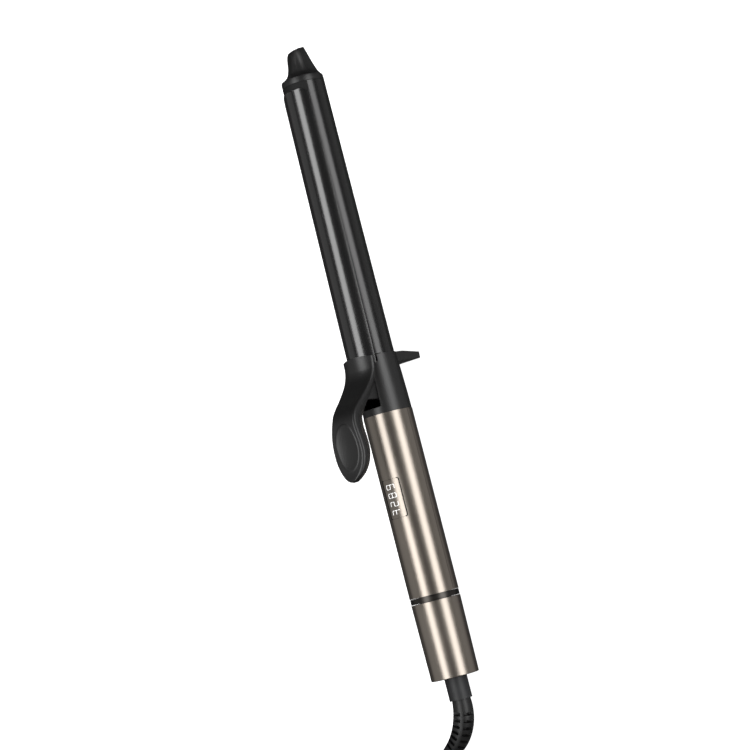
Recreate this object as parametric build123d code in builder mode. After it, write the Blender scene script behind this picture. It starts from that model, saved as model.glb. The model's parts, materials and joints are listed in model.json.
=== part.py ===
from build123d import *
from math import asin, atan2, cos, degrees, hypot, pi, radians, sin, tan
import os

# Curling iron with a one-inch barrel, lying on a table on its stand: clip and thumb lever up.
# Units are millimetres. The origin is where the stand's foot meets the table, +Z is up and
# +X points towards the cool tip. Stations are measured along the barrel from the handle's end.

# ---- driving dimensions ---------------------------------------------------------------------
BARREL_RADIUS = 12.7
BARREL_WALL = 0.8
HANDLE_RADIUS = 14.7
SHELL_BORE = 13.0
END_RADIUS = 14.2          # the end sleeve tapers to this at the handle's end
END_RIM = 0.5              # rounding of the end sleeve's rim
BAND_RADIUS = 14.5

END_WALL = 2.0             # stations along the barrel
SLEEVE_END = 45.3
BAND_START = 45.6
BAND_END = 48.8
SHELL_START = 49.0
SHELL_END = 157.2
COLLAR_END = 191.4
BARREL_START = 189.5
BARREL_END = 358.0
RING_END = 362.2
TIP_END = 379.2           # where the slanting end face crosses the axis

STAND_STATION = 187.6
STAND_REACH = 29.1         # from the barrel's axis to the foot
STAND_HALF_WIDTH = 11.5

HINGE_STATION = 184.0
HINGE_HEIGHT = 8.0
PIN_RADIUS = 1.5
PIN_HALF = 8.0
CLIP_TILT = 1.1            # degrees, the clip's heel stands further off the barrel than its nose

FLUTES = 8
SLIP = 0.08                # radial clearance of a running fit
GAP = 0.3                  # clearance of faces that pass each other

CORD = 6.0                 # diameter
TIE_THICKNESS = 0.8

# ---- the iron's own frame: tilted until the end sleeve's rim and the foot share the table ----
rim_height = STAND_REACH - END_RADIUS + END_RIM
rim_length = STAND_STATION - END_RIM
TILT = degrees(atan2(rim_height, rim_length) - asin(END_RIM / hypot(rim_height, rim_length)))
forward = Vector(cos(radians(TILT)), 0, sin(radians(TILT)))
upward = Vector(-sin(radians(TILT)), 0, cos(radians(TILT)))
iron = Plane(
    origin=forward * -STAND_STATION + upward * STAND_REACH,
    x_dir=forward,
    z_dir=upward,
)
barrel_axis = Axis(iron.origin, iron.x_dir)

# the clamp's frame: along the clip, crossing the barrel's axis near its nose
CLIP_CROSSING = 349.6
clip_turn = radians(TILT - CLIP_TILT)
clamp = Plane(
    origin=iron.from_local_coords(Vector(CLIP_CROSSING, 0, 0)),
    x_dir=Vector(cos(clip_turn), 0, sin(clip_turn)),
    z_dir=Vector(-sin(clip_turn), 0, cos(clip_turn)),
)


def across(station, height=0.0, side=0.0, base=iron):
    """Plane across the barrel, facing the tip, with its own Y up."""
    centre = base.from_local_coords(Vector(station, side, height))
    return Plane(origin=centre, x_dir=base.y_dir, z_dir=base.x_dir)


def lengthwise(side=0.0, base=iron):
    """Upright plane along the barrel: its X is the station, its Y the height."""
    centre = base.from_local_coords(Vector(0, side, 0))
    return Plane(origin=centre, x_dir=base.x_dir, z_dir=-base.y_dir)


def level(height, base=iron):
    """Plane along the barrel, facing up: its X is the station, its Y the side."""
    centre = base.from_local_coords(Vector(0, 0, height))
    return Plane(origin=centre, x_dir=base.x_dir, z_dir=base.z_dir)


def add_tube(start, end, outer, inner=0.0, height=0.0, side=0.0, mode=Mode.ADD, base=iron):
    """Round bar, or tube, between two stations."""
    with BuildSketch(across(start, height, side, base)) as ring:
        Circle(outer)
        if inner > 0:
            Circle(inner, mode=Mode.SUBTRACT)
    extrude(ring.sketch, amount=end - start, mode=mode)


def add_block(start, end, half_width, low, high, side=0.0, mode=Mode.ADD):
    """Square block between two stations and two heights."""
    with BuildSketch(across(start, (low + high) / 2, side)) as face:
        Rectangle(2 * half_width, high - low)
    extrude(face.sketch, amount=end - start, mode=mode)


def add_wire(points, radius):
    """Round wire through points given as station, side and height."""
    with BuildLine() as path:
        FilletPolyline([iron.from_local_coords(Vector(p)) for p in points], radius=3 * radius)
    with BuildSketch(Plane(origin=path.line @ 0, z_dir=path.line % 0)) as section:
        Circle(radius)
    sweep(section.sketch, path=path.line)


def save(piece, name):
    """Label a finished piece and write its file."""
    piece.part.label = name
    export_step(piece.part, f"parts/{name}.step")


os.makedirs("parts", exist_ok=True)

# ---- barrel and heater ----------------------------------------------------------------------
barrel_bore = BARREL_RADIUS - BARREL_WALL

with BuildPart() as barrel_tube:
    add_tube(BARREL_START, BARREL_END, BARREL_RADIUS, barrel_bore)
save(barrel_tube, "barrel_tube")

# heat-resistant spigot that holds the barrel, with an open well on top for the clamp's hinge
MOUNT_START = 168.0
MOUNT_END = 205.0
MOUNT_FLANGE_END = 184.0
MOUNT_FLANGE_RADIUS = 12.5
WELL_HALF = 6.6
WELL_FLOOR = 2.0
with BuildPart() as barrel_mount:
    add_tube(MOUNT_START, MOUNT_FLANGE_END, MOUNT_FLANGE_RADIUS)
    add_tube(MOUNT_FLANGE_END, MOUNT_END, barrel_bore - 0.1)
    add_block(MOUNT_START, BARREL_START - 1, WELL_HALF, WELL_FLOOR, HANDLE_RADIUS, mode=Mode.SUBTRACT)
    add_tube(MOUNT_START, MOUNT_END, 4.0, height=-5.0, mode=Mode.SUBTRACT)
    with BuildSketch(lengthwise()) as pin_hole:
        with Locations((HINGE_STATION, HINGE_HEIGHT)):
            Circle(PIN_RADIUS + SLIP)
    extrude(pin_hole.sketch, amount=HANDLE_RADIUS, both=True, mode=Mode.SUBTRACT)
save(barrel_mount, "barrel_mount")

HEATER_START = 216.0
HEATER_END = 300.0
PLATE_HALF_THICKNESS = 1.5
BLOCK_RADIUS = barrel_bore - 0.1


def heater_block(direction):
    """Half-round aluminium block, hollow, lying above or below the ceramic plate."""
    flat = PLATE_HALF_THICKNESS + 0.1
    with BuildPart() as block:
        add_tube(HEATER_START, HEATER_END, BLOCK_RADIUS)
        add_tube(HEATER_START, HEATER_END, 3.2, height=direction * 6.2, mode=Mode.SUBTRACT)
        low, high = sorted((direction * flat, -direction * 2 * BLOCK_RADIUS))
        add_block(HEATER_START, HEATER_END, BLOCK_RADIUS + 1, low, high, mode=Mode.SUBTRACT)
    return block


save(heater_block(1), "heater_block_upper")
save(heater_block(-1), "heater_block_lower")

with BuildPart() as heater_plate:
    add_block(HEATER_START + 1, HEATER_END - 1, 8.0, -PLATE_HALF_THICKNESS, PLATE_HALF_THICKNESS)
save(heater_plate, "heater_plate")

with BuildPart() as temperature_sensor:
    add_tube(HEATER_START + 4, HEATER_START + 12, 1.3, height=6.2)
save(temperature_sensor, "temperature_sensor")

with BuildPart() as thermal_fuse:
    add_tube(HEATER_START + 4, HEATER_START + 16, 2.0, height=-6.2)
save(thermal_fuse, "thermal_fuse")

SCREW_HOLE = 1.6
INSULATOR_END = BARREL_END - 11.0
with BuildPart() as tip_insulator:
    add_tube(INSULATOR_END - 3.0, INSULATOR_END, barrel_bore - 0.1, SCREW_HOLE)
save(tip_insulator, "tip_insulator")

# ---- cool tip -------------------------------------------------------------------------------
TIP_BASE_RADIUS = 12.1
TIP_NOSE_RADIUS = 5.9
TIP_SLANT = 15.0           # degrees, the end face
TIP_HIGH_SIDE = 52.0       # degrees round the barrel from straight down, where it reaches furthest
SPIGOT_START = BARREL_END - 7.0
SCREW_END = BARREL_END + 3.0
FLUTE_RADIUS = 13.0
with BuildPart() as cool_tip:
    with BuildSketch(lengthwise()) as outline:
        with BuildLine():
            Polyline(
                (SPIGOT_START, SCREW_HOLE),
                (SPIGOT_START, barrel_bore - 0.1),
                (BARREL_END + 0.1, barrel_bore - 0.1),
                (BARREL_END + 0.1, BARREL_RADIUS),
                (RING_END - 1.0, BARREL_RADIUS - 0.1),
                (RING_END, TIP_BASE_RADIUS),
                (TIP_END + 3.0, TIP_NOSE_RADIUS - 0.9),
                (TIP_END + 3.0, 0),
                (SCREW_END + 2.0, 0),
                (SCREW_END + 2.0, SCREW_HOLE),
                close=True,
            )
        make_face()
    revolve(outline.sketch, axis=barrel_axis)
    # broad concave flutes around the nose
    for number in range(FLUTES):
        angle = radians(360 / FLUTES * number)
        start = Vector(RING_END + 1.2, sin(angle) * 23.0, cos(angle) * 23.0)
        end = Vector(TIP_END + 6, sin(angle) * 16.4, cos(angle) * 16.4)
        begin = iron.from_local_coords(start)
        finish = iron.from_local_coords(end)
        with BuildSketch(Plane(origin=begin, z_dir=finish - begin)) as flute:
            Circle(FLUTE_RADIUS)
        extrude(flute.sketch, amount=(finish - begin).length, mode=Mode.SUBTRACT)
    # the end face leans over to one side
    low_side = Vector(0, sin(radians(TIP_HIGH_SIDE)), 0) + upward * cos(radians(TIP_HIGH_SIDE))
    facing = forward * cos(radians(TIP_SLANT)) + low_side * sin(radians(TIP_SLANT))
    end_face = Plane(origin=iron.from_local_coords(Vector(TIP_END, 0, 0)), z_dir=facing)
    split(bisect_by=end_face, keep=Keep.BOTTOM)
save(cool_tip, "cool_tip")

SCREW_HEAD_START = INSULATOR_END - 5.1
SCREW_HEAD_END = INSULATOR_END - 3.1
with BuildPart() as tip_screw:
    add_tube(SCREW_HEAD_START, SCREW_HEAD_END, 2.8)
    add_tube(SCREW_HEAD_END, SCREW_END, SCREW_HOLE - 0.1)
save(tip_screw, "tip_screw")

# ---- front collar with its stand ------------------------------------------------------------
COLLAR_BORE = 12.8
COLLAR_TOP_RADIUS = 13.45
COLLAR_WAIST_RADIUS = 14.15
COLLAR_FOOT_RADIUS = 14.5
OPENING_START = 161.2
NOTCH_START = 187.4
NOTCH_HALF = 9.9
STAND_BACK = 185.7         # the stand's rear side is square to the barrel
STAND_FRONT = 191.3        # its front side slopes from here
STAND_FOOT_FRONT = 189.5
with BuildPart() as collar:
    with BuildSketch(lengthwise()) as wall:
        with BuildLine():
            ThreePointArc(
                (SHELL_END + 0.1, COLLAR_FOOT_RADIUS),
                ((SHELL_END + COLLAR_END) / 2, COLLAR_WAIST_RADIUS),
                (COLLAR_END, COLLAR_TOP_RADIUS),
            )
            Line((COLLAR_END, COLLAR_TOP_RADIUS), (COLLAR_END, COLLAR_BORE))
            Line((COLLAR_END, COLLAR_BORE), (SHELL_END - 7, COLLAR_BORE))
            Line((SHELL_END - 7, COLLAR_BORE), (SHELL_END - 7, SHELL_BORE - 0.1))
            Line((SHELL_END - 7, SHELL_BORE - 0.1), (SHELL_END + 0.1, SHELL_BORE - 0.1))
            Line((SHELL_END + 0.1, SHELL_BORE - 0.1), (SHELL_END + 0.1, COLLAR_FOOT_RADIUS))
        make_face()
    revolve(wall.sketch, axis=barrel_axis)
    # stand: a fin that thins towards its foot
    with BuildSketch(lengthwise()) as fin:
        Polygon(
            (STAND_BACK, -6.0),
            (STAND_FRONT, -6.0),
            (STAND_FRONT, -COLLAR_TOP_RADIUS),
            (STAND_FOOT_FRONT, -STAND_REACH),
            (STAND_FOOT_FRONT, -STAND_REACH - 2),
            (STAND_BACK, -STAND_REACH - 2),
            align=None,
        )
    extrude(fin.sketch, amount=STAND_HALF_WIDTH, both=True)
    add_tube(SHELL_END + 0.1, COLLAR_END, COLLAR_BORE, mode=Mode.SUBTRACT)
    split(bisect_by=Plane.XY, keep=Keep.TOP)
    # openings on the lever's side: a long well and a wider notch for the clip's heel
    with BuildSketch(level(0)) as openings:
        with BuildLine():
            Polyline(
                (OPENING_START, -WELL_HALF),
                (NOTCH_START, -WELL_HALF),
                (NOTCH_START, -NOTCH_HALF),
                (COLLAR_END + 1, -NOTCH_HALF),
                (COLLAR_END + 1, NOTCH_HALF),
                (NOTCH_START, NOTCH_HALF),
                (NOTCH_START, WELL_HALF),
                (OPENING_START, WELL_HALF),
                close=True,
            )
        make_face()
        fillet(openings.vertices().sort_by(Axis.X)[:2], 1.2)
    extrude(openings.sketch, amount=2 * HANDLE_RADIUS, mode=Mode.SUBTRACT)
save(collar, "collar")

# ---- clamp hinge and spring -----------------------------------------------------------------
with BuildPart() as hinge_pin:
    with BuildSketch(lengthwise()) as pin_end:
        with Locations((HINGE_STATION, HINGE_HEIGHT)):
            Circle(PIN_RADIUS)
    extrude(pin_end.sketch, amount=PIN_HALF, both=True)
save(hinge_pin, "hinge_pin")

SPRING_RADIUS = 3.0        # at the middle of the wire
SPRING_WIRE = 0.5
SPRING_LEG = 0.4
SPRING_HALF = 2.4
with BuildPart() as lever_spring:
    with BuildSketch(lengthwise()) as coil:
        with Locations((HINGE_STATION, HINGE_HEIGHT)):
            Circle(SPRING_RADIUS + SPRING_WIRE)
            Circle(SPRING_RADIUS - SPRING_WIRE, mode=Mode.SUBTRACT)
    extrude(coil.sketch, amount=SPRING_HALF, both=True)
    with BuildSketch(across(HINGE_STATION, HINGE_HEIGHT + SPRING_RADIUS, -SPRING_HALF + SPRING_WIRE)) as leg:
        Circle(SPRING_LEG)
    extrude(leg.sketch, amount=-12)
    low_leg = across(HINGE_STATION, HINGE_HEIGHT - SPRING_RADIUS, SPRING_HALF - SPRING_WIRE)
    with BuildSketch(low_leg) as leg:
        Circle(SPRING_LEG)
    extrude(leg.sketch, amount=-14)
save(lever_spring, "lever_spring")

# ---- clamp: clip, thumb lever, pad and rivets, drawn in the clip's own frame ------------------
CLIP_BORE = 12.9
CLIP_OUTER = 13.7
HEEL = -163.0              # the clip's heel and nose, along the clip from its frame's origin
NOSE = 4.5
NOSE_CORNER = 7.0
RIVET_RADIUS = 1.0
RIVETS = [(HEEL + 2.6, side) for side in (-3.5, 3.5)]
with BuildPart() as clip_plate:
    add_tube(HEEL, NOSE, CLIP_OUTER, CLIP_BORE, base=clamp)
    with BuildSketch(lengthwise(base=clamp)) as kept:
        with BuildLine():
            corner = (NOSE - NOSE_CORNER, 9.0)
            Line((HEEL, 7.4), corner)
            Spline(corner, (NOSE - 2.0, 10.2), (NOSE, 12.0), tangents=[(1, 0.01), (0.15, 1)])
            Polyline((NOSE, 12.0), (NOSE, 15), (HEEL, 15), (HEEL, 7.4))
        make_face()
    extrude(kept.sketch, amount=2 * HANDLE_RADIUS, both=True, mode=Mode.INTERSECT)
    with BuildSketch(level(CLIP_OUTER + 2, base=clamp)) as rivet_holes:
        with Locations(*RIVETS):
            Circle(RIVET_RADIUS + 0.05)
    extrude(rivet_holes.sketch, amount=-6, mode=Mode.SUBTRACT)
save(clip_plate, "clip_plate")

HOOD_RADIUS = 17.0
HOOD_END = HEEL + 4.0
LEVER_TOP = [
    (HOOD_END, 16.4),
    (-170.0, 16.6),
    (-175.2, 20.6),
    (-180.6, 26.9),
    (-185.0, 33.0),
    (-189.2, 36.9),
    (-195.0, 39.4),
    (-202.0, 40.4),
    (-214.0, 40.4),
    (-222.0, 41.2),
    (-229.3, 43.5),
]
LEVER_UNDERSIDE = [
    (-230.4, 38.8),
    (-222.0, 33.6),
    (-213.0, 31.8),
    (-202.0, 31.4),
    (-195.5, 29.6),
    (-190.5, 25.8),
    (-186.0, 21.4),
    (-183.0, 18.6),
]
LEVER_HALF_WIDTHS = [
    (HOOD_END, 11.2),
    (-168.0, 11.0),
    (-176.0, 10.2),
    (-184.0, 9.2),
    (-190.0, 9.0),
    (-198.0, 9.8),
    (-206.0, 11.0),
    (-214.0, 11.6),
    (-222.0, 10.4),
    (-228.2, 6.4),
    (-230.4, 0),
]
PAD_PROUD = 0.15
PAD_THICKNESS = 1.4
PAD_CENTRE = -210.0


def lever_top(lift=0.0):
    """Curve along the lever's upper side, moved up by a given height."""
    points = [(station, height + lift) for station, height in LEVER_TOP]
    return Spline(*points, tangents=[(-1, 0.02), (-1, 0.45)])


with BuildPart() as thumb_pad:
    # oval inlay that follows the paddle's dished face
    with BuildSketch(lengthwise(base=clamp)) as layer:
        with BuildLine():
            face_line = lever_top(PAD_PROUD)
            back_line = lever_top(PAD_PROUD - PAD_THICKNESS)
            Line(face_line @ 0, back_line @ 0)
            Line(face_line @ 1, back_line @ 1)
        make_face()
    extrude(layer.sketch, amount=12.0, both=True)
    with BuildSketch(level(0, base=clamp)) as oval:
        with Locations((PAD_CENTRE, 0)):
            Ellipse(13.4, 8.4)
    extrude(oval.sketch, amount=60.0, mode=Mode.INTERSECT)
save(thumb_pad, "thumb_pad")

with BuildPart() as thumb_lever:
    # side profile of the plate: hood over the clip's heel, neck, and raised paddle
    with BuildSketch(lengthwise(base=clamp)) as profile:
        with BuildLine():
            lever_top()
            Line(LEVER_TOP[-1], LEVER_UNDERSIDE[0])
            Spline(*LEVER_UNDERSIDE, tangents=[(1, -0.7), (0.5, -1)])
            Polyline(LEVER_UNDERSIDE[-1], (-176.0, 13.8), (HOOD_END, 13.8), LEVER_TOP[0])
        make_face()
    extrude(profile.sketch, amount=14.0, both=True)
    # plan outline of the plate: broad hood, waist, oval paddle
    with BuildSketch(level(0, base=clamp)) as plan:
        with BuildLine():
            half = Spline(*LEVER_HALF_WIDTHS, tangents=[(-1, 0), (0, -1)])
            mirror(half, about=Plane.XZ)
            hood_half = LEVER_HALF_WIDTHS[0][1]
            Line((HOOD_END, hood_half), (HOOD_END, -hood_half))
        make_face()
    extrude(plan.sketch, amount=60.0, mode=Mode.INTERSECT)
    add(thumb_pad.part, mode=Mode.SUBTRACT)
    # the hood is round over the clip
    with BuildSketch(across(-172.0, base=clamp)) as cheeks:
        Rectangle(60, 60)
        Circle(HOOD_RADIUS, mode=Mode.SUBTRACT)
    extrude(cheeks.sketch, amount=20, mode=Mode.SUBTRACT)
    # webs down into the collar, with the hinge eye; the spring sits between them
    with BuildSketch(lengthwise()) as web:
        with BuildLine():
            Polyline(
                (HINGE_STATION + 3.6, 17.0),
                (HINGE_STATION - 12.0, 19.5),
                (HINGE_STATION - 17.2, 26.0),
                (HINGE_STATION - 18.0, 12.6),
                (HINGE_STATION - 12.0, 9.6),
                (HINGE_STATION - 3.4, HINGE_HEIGHT - 1.6),
                (HINGE_STATION + 3.6, HINGE_HEIGHT - 1.6),
                close=True,
            )
        make_face()
        with Locations((HINGE_STATION, HINGE_HEIGHT)):
            Circle(3.8)
    extrude(web.sketch, amount=WELL_HALF - GAP, both=True)
    with BuildSketch(lengthwise()) as slot:
        with BuildLine():
            Polyline(
                (HINGE_STATION + 4.2, 3.0),
                (HINGE_STATION + 4.2, 14.0),
                (HINGE_STATION - 9.0, 14.8),
                (HINGE_STATION - 17.0, 22.4),
                (HINGE_STATION - 20.0, 10.0),
                (HINGE_STATION - 10.0, 3.0),
                close=True,
            )
        make_face()
    extrude(slot.sketch, amount=3.2, both=True, mode=Mode.SUBTRACT)
    # room for the clip's heel, and the bore for the pin
    add_tube(HEEL - 0.1, HEEL + 8, CLIP_OUTER, CLIP_BORE, base=clamp, mode=Mode.SUBTRACT)
    with BuildSketch(lengthwise()) as eye:
        with Locations((HINGE_STATION, HINGE_HEIGHT)):
            Circle(PIN_RADIUS + SLIP)
    extrude(eye.sketch, amount=HANDLE_RADIUS, both=True, mode=Mode.SUBTRACT)
    with BuildSketch(level(CLIP_OUTER + 1.3, base=clamp)) as rivet_holes:
        with Locations(*RIVETS):
            Circle(RIVET_RADIUS + 0.05)
    extrude(rivet_holes.sketch, amount=-8, mode=Mode.SUBTRACT)
save(thumb_lever, "thumb_lever")

with BuildPart() as clip_rivets:
    with BuildSketch(level(CLIP_BORE - 1.3, base=clamp)) as shanks:
        with Locations(*RIVETS):
            Circle(RIVET_RADIUS)
    extrude(shanks.sketch, amount=2.6)
    with BuildSketch(level(CLIP_BORE - 2.0, base=clamp)) as heads:
        with Locations(*RIVETS):
            Circle(1.7)
    extrude(heads.sketch, amount=0.7)
save(clip_rivets, "clip_rivets")

# ---- handle shells, window and accent ring --------------------------------------------------
WINDOW_START = 96.4
WINDOW_END = 119.2
WINDOW_HALF = 6.1
WINDOW_SEAM = 0.12
PARTING = 0.13             # half the parting gap between the shells


def window_outline(grow, corner):
    """Rounded rectangle of the display window, seen from above the handle."""
    with BuildSketch(level(0)) as outline:
        with Locations(((WINDOW_START + WINDOW_END) / 2, 0)):
            RectangleRounded(
                WINDOW_END - WINDOW_START + 2 * grow, 2 * (WINDOW_HALF + grow), corner + grow
            )
    return outline.sketch


with BuildPart() as upper_shell:
    add_tube(SHELL_START, SHELL_END, HANDLE_RADIUS, SHELL_BORE)
    add_block(SHELL_START, SHELL_END, 20.0, -20.0, PARTING, mode=Mode.SUBTRACT)
    extrude(window_outline(WINDOW_SEAM, 1.0), amount=20.0, mode=Mode.SUBTRACT)
save(upper_shell, "upper_shell")

with BuildPart() as lower_shell:
    add_tube(SHELL_START, SHELL_END, HANDLE_RADIUS, SHELL_BORE)
    add_block(SHELL_START, SHELL_END, 20.0, -PARTING, 20.0, mode=Mode.SUBTRACT)
save(lower_shell, "lower_shell")

with BuildPart() as display_window:
    add_tube(SHELL_START, SHELL_END, HANDLE_RADIUS - 0.05, SHELL_BORE + 0.1)
    extrude(window_outline(0, 1.0), amount=20.0, mode=Mode.INTERSECT)
save(display_window, "display_window")

with BuildPart() as accent_band:
    add_tube(BAND_START, BAND_END, BAND_RADIUS, 9.45)
save(accent_band, "accent_band")

# ---- electronics on their tray --------------------------------------------------------------
BOARD_LOW = 3.0
BOARD_HIGH = 4.6
BOARD_START = 62.0
BOARD_END = 147.0
with BuildPart() as chassis:
    add_block(60.0, 149.0, 11.6, -1.5, 0.5)
    for side in (-9.8, 9.8):
        add_block(60.0, 149.0, 0.8, 0.5, BOARD_LOW, side=side)
    add_block(116.0, 130.0, 3.4, -3.0, 2.0, mode=Mode.SUBTRACT)
save(chassis, "chassis")

with BuildPart() as circuit_board:
    add_block(BOARD_START, BOARD_END, 10.6, BOARD_LOW, BOARD_HIGH)
save(circuit_board, "circuit_board")

with BuildPart() as display_module:
    add_block(97.2, 118.4, 5.6, BOARD_HIGH, 11.6)
save(display_module, "display_module")

with BuildPart() as power_block:
    add_block(72.0, 88.0, 6.0, BOARD_HIGH, 10.4)
save(power_block, "power_block")

with BuildPart() as capacitor:
    add_tube(128.0, 141.0, 3.0, height=BOARD_HIGH + 3.0)
save(capacitor, "capacitor")

with BuildPart() as heater_switch:
    add_block(121.0, 125.0, 5.0, BOARD_HIGH, 11.0)
save(heater_switch, "heater_switch")

with BuildPart() as heater_leads:
    for side in (-1.8, 1.8):
        add_wire([(215.6, side, -5.0), (133, side, -5.0), (127, side, -2.0), (127, side, 2.9)], 0.8)
save(heater_leads, "heater_leads")

with BuildPart() as sensor_leads:
    for side in (-1.2, 1.2):
        add_wire([(215.6, side, -7.6), (125, side, -7.6), (119, side, -4.0), (119, side, 2.9)], 0.5)
save(sensor_leads, "sensor_leads")

# ---- tail tube, which carries the dial and the swivel -----------------------------------------
CORE_RADIUS = 9.4
CORE_BORE = 7.6
with BuildPart() as tail_core:
    add_tube(2.6, SHELL_START, CORE_RADIUS)
    add_tube(SHELL_START, 58.0, SHELL_BORE - 0.1)
    add_tube(2.6, 58.0, CORE_BORE, mode=Mode.SUBTRACT)
save(tail_core, "tail_core")

SPINDLE_RADIUS = 4.8
SPINDLE_BORE = 2.6
with BuildPart() as bushing_outer:
    add_tube(6.2, 14.0, CORE_BORE - 0.05, SPINDLE_RADIUS + SLIP)
save(bushing_outer, "bushing_outer")

with BuildPart() as bushing_inner:
    add_tube(26.0, 34.0, CORE_BORE - 0.05, SPINDLE_RADIUS + SLIP)
save(bushing_inner, "bushing_inner")

RING_STATIONS = (38.0, 43.0)
RING_WIDTH = 3.0
with BuildPart() as brush_holder:
    add_tube(37.0, 47.0, CORE_BORE - 0.05, 6.3)
save(brush_holder, "brush_holder")

with BuildPart() as brushes:
    for station in RING_STATIONS:
        add_block(station + 0.5, station + RING_WIDTH - 0.5, 0.9, 5.65, 6.2)
save(brushes, "brushes")

with BuildPart() as supply_leads:
    for side in (-2.5, 2.5):
        add_tube(47.2, 66.0, 0.8, height=5.5, side=side)
save(supply_leads, "supply_leads")

with BuildPart() as dial_board:
    add_tube(42.0, 43.4, 12.6, CORE_RADIUS + 0.05)
save(dial_board, "dial_board")

# ---- dial -----------------------------------------------------------------------------------
SLEEVE_HOLE = 7.1
with BuildPart() as end_sleeve:
    with BuildSketch(lengthwise()) as section:
        with BuildLine():
            Line((0, SLEEVE_HOLE), (0, END_RADIUS - END_RIM))
            RadiusArc((0, END_RADIUS - END_RIM), (END_RIM, END_RADIUS), END_RIM)
            Polyline(
                (END_RIM, END_RADIUS),
                (SLEEVE_END, HANDLE_RADIUS - 0.05),
                (SLEEVE_END, SHELL_BORE),
                (END_WALL, SHELL_BORE),
                (END_WALL, SLEEVE_HOLE),
                (0, SLEEVE_HOLE),
            )
        make_face()
    revolve(section.sketch, axis=barrel_axis)
save(end_sleeve, "end_sleeve")

with BuildPart() as dial_carrier:
    add_tube(3.0, 40.0, SHELL_BORE - 0.05, CORE_RADIUS + SLIP)
    add_tube(12.0, 34.0, 11.8, 10.4, mode=Mode.SUBTRACT)
save(dial_carrier, "dial_carrier")

with BuildPart() as wiper_ring:
    add_tube(40.0, 41.2, 12.4, 10.2)
save(wiper_ring, "wiper_ring")

# ---- cord swivel ----------------------------------------------------------------------------
SWIVEL_RADIUS = 6.75
SWIVEL_REACH = 13.4
with BuildPart() as swivel_collar:
    add_tube(-SWIVEL_REACH, 5.0, SWIVEL_RADIUS, SPINDLE_RADIUS + 0.05)
save(swivel_collar, "swivel_collar")

with BuildPart() as swivel_spindle:
    add_tube(-SWIVEL_REACH, 46.6, SPINDLE_RADIUS, SPINDLE_BORE)
    add_tube(15.0, 17.0, 6.6, SPINDLE_BORE)
    add_tube(34.6, 35.4, SPINDLE_RADIUS + 1, SPINDLE_RADIUS - 0.6, mode=Mode.SUBTRACT)
save(swivel_spindle, "swivel_spindle")

with BuildPart() as retaining_clip:
    add_tube(34.7, 35.3, 6.6, SPINDLE_RADIUS - 0.5)
    add_block(34.0, 36.0, 1.8, 0, 8.0, mode=Mode.SUBTRACT)
save(retaining_clip, "retaining_clip")

with BuildPart() as slip_rings:
    for station in RING_STATIONS:
        add_tube(station, station + RING_WIDTH, 5.6, SPINDLE_RADIUS)
save(slip_rings, "slip_rings")

# strain relief: bent to the side, with four openings in each of its rows
RELIEF_RADII = [(0, 5.5), (0.8, 5.1), (1, 4.0)]   # share of the length, radius
RELIEF_LEAD_IN = 1.0
RELIEF_BEND_RADIUS = 31.0
RELIEF_BEND = 60.0         # degrees
RELIEF_STRAIGHT = 5.0
RELIEF_CORE = 3.3
RELIEF_ROWS = 7
ROW_PITCH = 3.7
ROW_HALF = 0.95            # half the width of an opening
FIRST_ROW = 8.0
SPINE_WIDTH = 2.0
SPINE_TURN = -26.0         # degrees, where the first spine stands
relief_plane = Plane(
    origin=iron.from_local_coords(Vector(-SWIVEL_REACH, 0, 0)), x_dir=-forward, z_dir=-upward
)
with BuildLine(relief_plane) as relief_path:
    lead_in = Line((0, 0), (RELIEF_LEAD_IN, 0))
    bend = JernArc(
        start=lead_in @ 1, tangent=lead_in % 1, radius=RELIEF_BEND_RADIUS, arc_size=RELIEF_BEND
    )
    Line(bend @ 1, bend @ 1 + (bend % 1) * RELIEF_STRAIGHT)
relief_length = relief_path.wire().length
relief_end = relief_path.wire() @ 1


def across_relief(share):
    """Plane across the strain relief at a share of its length."""
    wire = relief_path.wire()
    return Plane(wire @ share, x_dir=upward, z_dir=wire % share)


with BuildPart() as strain_relief:
    for share, radius in RELIEF_RADII:
        with BuildSketch(across_relief(share)):
            Circle(radius)
    sweep(path=relief_path.wire(), multisection=True)
    for row in range(RELIEF_ROWS):
        share = (FIRST_ROW + row * ROW_PITCH) / relief_length
        with BuildSketch(across_relief(share)) as openings:
            Circle(8.0)
            Circle(RELIEF_CORE, mode=Mode.SUBTRACT)
            Rectangle(20, SPINE_WIDTH, rotation=SPINE_TURN, mode=Mode.SUBTRACT)
            Rectangle(SPINE_WIDTH, 20, rotation=SPINE_TURN, mode=Mode.SUBTRACT)
        extrude(openings.sketch, amount=ROW_HALF, both=True, mode=Mode.SUBTRACT)
save(strain_relief, "strain_relief")

# ---- cord, put away as a hank behind the handle -----------------------------------------------
LEAD = [
    (-239.3, 30.7, 9.6),
    (-248.9, 38.8, 7.7),
    (-260.7, 43.1, 5.7),
    (-273.2, 43.1, 4.0),
]
TAIL = [
    (-391.4, 1.1, 3.8),
    (-379.9, 1.5, 3.9),
    (-368.4, 5.6, 4.6),
    (-357.4, 13.2, 6.2),
    (-345.9, 17.9, 7.6),
    (-333.4, 19.1, 8.0),
]
HANK_SIDE = 19.1
HANK_NEAR = -275.4         # centres of the folds
HANK_FAR = -392.4
OUTER_FOLD = 24.0          # radii at the middle of the cord
INNER_FOLD = 18.0
TOP_FOLD = 21.0
TURNS = 4.5
HANK_TOP = 18.0


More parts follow.
